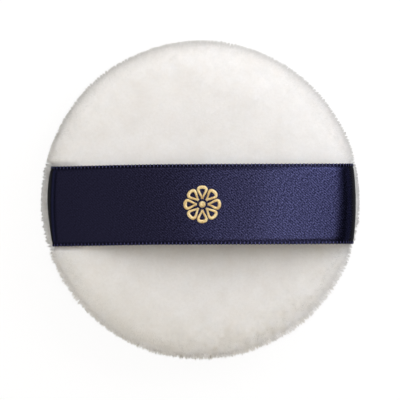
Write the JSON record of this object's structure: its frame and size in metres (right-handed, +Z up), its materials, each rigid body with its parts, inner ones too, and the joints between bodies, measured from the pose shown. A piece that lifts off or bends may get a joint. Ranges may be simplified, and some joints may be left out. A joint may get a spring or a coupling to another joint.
{
  "type": "powder puff",
  "caption": "Round plush powder puff with a foam core and a satin ribbon arched across the back, under which the fingers slip to hold it.",
  "frame": {"origin": "centre of the flat on the face, where the puff lies on a table", "axes": "+Z up out of the back; +X along the ribbon, towards the end where its slack lies; +Y across it"},
  "size_m": [0.08, 0.08, 0.023],
  "materials": {
    "velour": "matte",
    "foam": "matte",
    "satin": "satin",
    "sewing_thread": "satin",
    "gold_thread": "satin"
  },
  "bodies": {
    "puff": {"face_cover": "velour", "back_cover": "velour", "foam_core": "foam", "rim_needle_thread": "sewing_thread", "rim_bobbin_thread": "sewing_thread", "closing_thread": "sewing_thread"},
    "ribbon": {"ribbon": "satin", "embroidered_motif": "gold_thread"}
  },
  "joints": [
    {"name": "ribbon_lift", "type": "slide", "parent": "puff", "child": "ribbon", "axis": [0, 0, 1], "range_m": [-0.0045, 0.005], "stiffness_N_per_m": 40, "deforming": ["ribbon"]}
  ]
}
